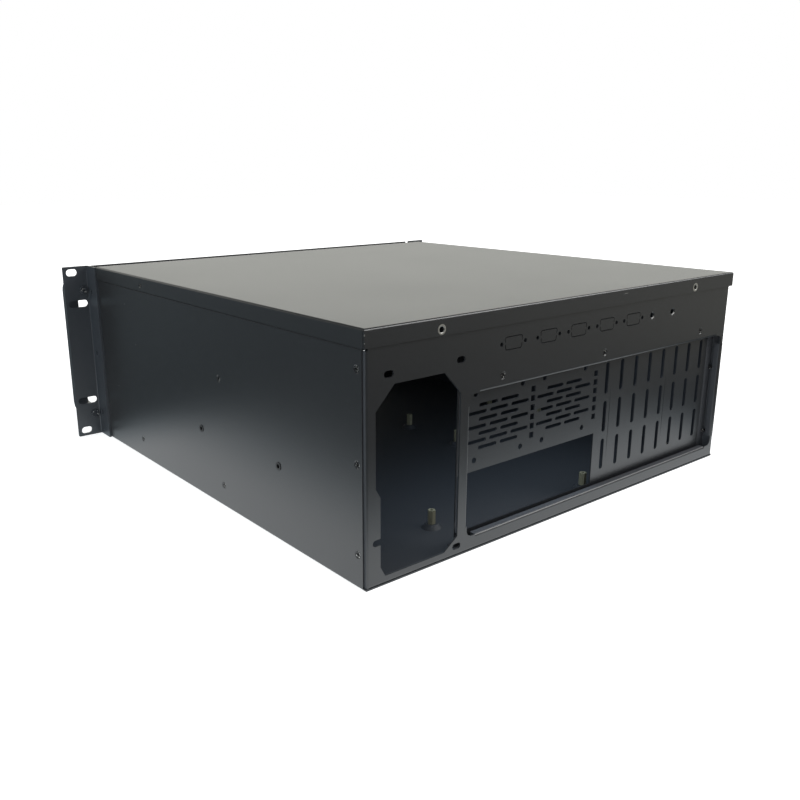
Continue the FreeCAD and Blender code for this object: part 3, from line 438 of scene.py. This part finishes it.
# ---- Floor: a wide white sheet that takes the case's shadow. Reflections find a bright pool round the
# ---- case, dim ground beside it and, behind it, a slow brightening towards -X. No level is above 1,
# ---- which is white.
floor_half = 6.0
floor_drop = 0.0002
floor_albedo = 0.82
pool_middle = (0.010, 0.080)
pool_half = (0.235, 0.190)
pool_corner = 0.085
pool_fade = 0.16
pool_level = 1.0
near_side_low = 0.075
near_side_high = 0.14
near_side_reach = (0.2, -0.8)
behind_low = 0.035
behind_high = 0.29
behind_reach = (-0.05, -0.95)
ground_turn = (0.34, 0.50)
tint_turn = (0.34, 0.46)
pool_tint = (0.94, 0.98, 1.0)
near_side_tint = (0.72, 0.90, 1.0)
behind_tint = (1.0, 0.99, 0.88)
seen_low = 0.72
seen_high = 1.0
seen_reach = (0.10, 1.30)
bpy.ops.mesh.primitive_plane_add(size=2 * floor_half, location=(0, 0, -floor_drop))
floor = bpy.context.active_object
floor.name = "floor"
material, tree, output = new_material("studio_floor")
place = tree.nodes.new("ShaderNodeTexCoord")
split = tree.nodes.new("ShaderNodeSeparateXYZ")
link(tree, place, "Object", split, "Vector")
squares = []
for axis, middle, half in zip("XY", pool_middle, pool_half):
    offset = maths(tree, "SUBTRACT", (split, axis), middle)
    span = maths(tree, "ABSOLUTE", (offset, 0))
    outside = maths(tree, "SUBTRACT", (span, 0), half)
    clear = maths(tree, "MAXIMUM", (outside, 0), 0.0)
    squares.append(maths(tree, "POWER", (clear, 0), 2.0))
squared = maths(tree, "ADD", (squares[0], 0), (squares[1], 0))
away = maths(tree, "SQRT", (squared, 0))
behind = ramp(tree, (split, "X"), *behind_reach, behind_low, behind_high, smooth=False)
beside = ramp(tree, (split, "Y"), *near_side_reach, near_side_low, near_side_high, smooth=False)
ground = ramp(tree, (split, "Y"), *ground_turn, (beside, 0), (behind, 0))
pool_edge = (pool_corner - pool_fade / 2, pool_corner + pool_fade / 2)
mirrored = ramp(tree, (away, 0), *pool_edge, pool_level, (ground, 0))
beyond = ramp(tree, (away, 0), *pool_edge, 0.0, 1.0)
behind_case = ramp(tree, (split, "Y"), *tint_turn, 0.0, 1.0)
ground_tint = two_tone(tree, near_side_tint, behind_tint, behind_case)
mirrored_tint = colour_mix(tree, pool_tint)
link(tree, beyond, 0, mirrored_tint, "Factor")
link(tree, ground_tint, "Result", mirrored_tint, "B")
seen = ramp(tree, (away, 0), *seen_reach, seen_low, seen_high)
path = tree.nodes.new("ShaderNodeLightPath")
diffuse = tree.nodes.new("ShaderNodeBsdfDiffuse")
diffuse.inputs["Color"].default_value = (floor_albedo, floor_albedo, floor_albedo, 1)
black = tree.nodes.new("ShaderNodeBsdfDiffuse")
black.inputs["Color"].default_value = (0.0, 0.0, 0.0, 1)
dim = tree.nodes.new("ShaderNodeMixShader")
link(tree, path, "Is Glossy Ray", dim, "Fac")
link(tree, diffuse, "BSDF", dim, 1)
link(tree, black, "BSDF", dim, 2)
total = dim
for ray, level in (("Is Camera Ray", seen), ("Is Glossy Ray", mirrored)):
    glow = tree.nodes.new("ShaderNodeEmission")
    if level is mirrored:
        link(tree, mirrored_tint, "Result", glow, "Color")
    else:
        glow.inputs["Color"].default_value = (1, 1, 1, 1)
    strength = maths(tree, "MULTIPLY", (path, ray), (level, 0))
    link(tree, strength, 0, glow, "Strength")
    summed = tree.nodes.new("ShaderNodeAddShader")
    tree.links.new(total.outputs[0], summed.inputs[0])
    link(tree, glow, "Emission", summed, 1)
    total = summed
link(tree, total, "Shader", output, "Surface")
floor.data.materials.append(material)
floor.select_set(False)


# ---- World: white where it is seen, and a plain grey light on the case. Reflections find the white, a
# ---- little yellow, beyond the case's front on its -X side, and it dies away upwards and to the sides.
ambient_level = 0.55
backdrop_level = 1.0
seen_level = 1.0
ceiling_level = 0.07
side_level = 0.08
backdrop_heading = (-0.50, -0.866, 0.0)
backdrop_spread = (0.35, 0.80)
backdrop_height = (0.34, 0.48)
backdrop_tint = (0.995, 1.0, 0.935, 1)
plain_tint = (1, 1, 1, 1)
world = bpy.data.worlds.new("studio")
scene.world = world
world.use_nodes = True
tree = world.node_tree
tree.nodes.clear()
output = tree.nodes.new("ShaderNodeOutputWorld")
place = tree.nodes.new("ShaderNodeTexCoord")
toward = tree.nodes.new("ShaderNodeVectorMath")
toward.operation = "DOT_PRODUCT"
toward.inputs[1].default_value = backdrop_heading
link(tree, place, "Generated", toward, 0)
split = tree.nodes.new("ShaderNodeSeparateXYZ")
link(tree, place, "Generated", split, "Vector")
top = ramp(tree, (split, "Z"), *backdrop_height, backdrop_level, ceiling_level)
backdrop = ramp(tree, (toward, "Value"), *backdrop_spread, side_level, (top, 0))
path = tree.nodes.new("ShaderNodeLightPath")
skies = []
for strength, tint in ((ambient_level, plain_tint), ((backdrop, 0), backdrop_tint), (seen_level, plain_tint)):
    sky = tree.nodes.new("ShaderNodeBackground")
    sky.inputs["Color"].default_value = tint
    if isinstance(strength, float):
        sky.inputs["Strength"].default_value = strength
    else:
        link(tree, *strength, sky, "Strength")
    skies.append(sky)
ambient, reflected, white = skies
first = tree.nodes.new("ShaderNodeMixShader")
second = tree.nodes.new("ShaderNodeMixShader")
link(tree, path, "Is Glossy Ray", first, "Fac")
link(tree, ambient, "Background", first, 1)
link(tree, reflected, "Background", first, 2)
link(tree, path, "Is Camera Ray", second, "Fac")
link(tree, first, "Shader", second, 1)
link(tree, white, "Background", second, 2)
link(tree, second, "Shader", output, "Surface")


# ---- Lamps: a soft box high behind the case on its -X side, which draws the light lines along the folds,
# ---- weak fills beyond the camera and the +X side, and a small one that stands for the light that finds
# ---- its way onto the case's floor. The side fill and the small one are hidden from reflections.
def soft_box(name, width, height, power, at, aim, tint=(1, 1, 1)):
    lamp = bpy.data.lights.new(name, "AREA")
    lamp.shape = "RECTANGLE"
    lamp.size = width
    lamp.size_y = height
    lamp.energy = power
    lamp.color = tint
    holder = bpy.data.objects.new(name, lamp)
    scene.collection.objects.link(holder)
    holder.visible_camera = False
    holder.location = at
    holder.rotation_euler = (Vector(aim) - Vector(at)).to_track_quat("-Z", "Y").to_euler()
    return holder


case_middle = (0, 0, 0.1)
soft_box("overhead", width=1.8, height=0.9, power=20.0, at=(-1.25, 1.25, 1.25), aim=(0, 0.1, 0.1))
soft_box("fill", width=1.0, height=1.0, power=2.0, at=(1.2, 1.9, 1.0), aim=case_middle,
         tint=(0.88, 0.96, 1.0))
side_fill = soft_box("side_fill", width=1.0, height=1.0, power=14.5, at=(2.0, 0.5, 0.8), aim=case_middle,
                     tint=(0.82, 0.94, 1.0))
side_fill.visible_glossy = False
inside = soft_box("inside", width=0.34, height=0.08, power=0.29, at=(0.02, 0.18, 0.135),
                  aim=(0.02, 0.19, 0.0), tint=(0.80, 0.91, 1.0))
inside.visible_glossy = False


# ---- Camera: behind the case, beyond its +X side and a little above the lid, its picture shifted
# ---- a little sideways to frame the case
eye = Vector((0.5236, 0.6358, 0.2725))
forward = Vector((-0.5999, -0.7530, -0.2704)).normalized()
rightward = Vector((-0.7813, 0.6241, -0.0046))
rightward = (rightward - forward * rightward.dot(forward)).normalized()
upward = rightward.cross(forward)
camera_data = bpy.data.cameras.new("camera")
camera_data.sensor_width = 36.0
camera_data.lens = 37.448
camera_data.shift_x = 0.0414
camera_data.clip_end = 30.0
camera = bpy.data.objects.new("camera", camera_data)
scene.collection.objects.link(camera)
turn = Matrix((rightward, upward, -forward)).transposed()
camera.matrix_world = Matrix.Translation(eye) @ turn.to_4x4()
scene.camera = camera
